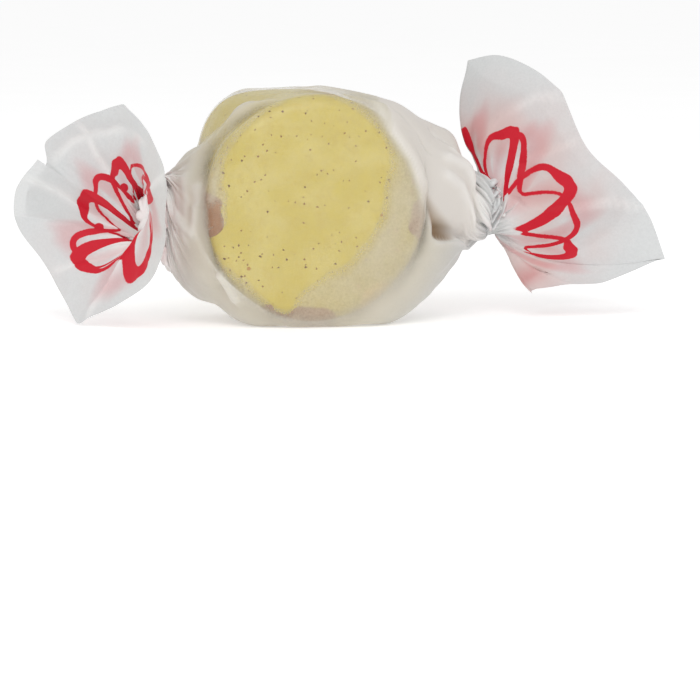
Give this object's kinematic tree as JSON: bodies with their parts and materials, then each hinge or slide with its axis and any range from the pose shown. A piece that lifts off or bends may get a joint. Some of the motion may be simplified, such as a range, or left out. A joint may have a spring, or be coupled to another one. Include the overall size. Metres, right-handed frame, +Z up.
{
  "type": "wrapped taffy",
  "caption": "Short round piece of soft taffy in waxed paper, twisted at both ends into open fans, lying with a cut face to the front.",
  "frame": {"origin": "on the flat base, under the middle of the taffy log", "axes": "+X along the roll towards the right-hand twist, -Y out of the front cut face, +Z up"},
  "size_m": [0.0745, 0.0241, 0.0302],
  "materials": {
    "taffy": "soft satin, speckled",
    "taffy_brown": "soft satin",
    "taffy_amber": "soft satin",
    "paper": "waxed, thin enough to see through"
  },
  "bodies": {
    "root": {"taffy_core": "taffy", "stripe_left": "taffy_brown", "stripe_bottom": "taffy_brown", "stripe_right": "taffy_brown", "stripe_lower_right": "taffy_amber", "stripe_top": "taffy_amber", "wrapper": "paper"}
  },
  "joints": []
}
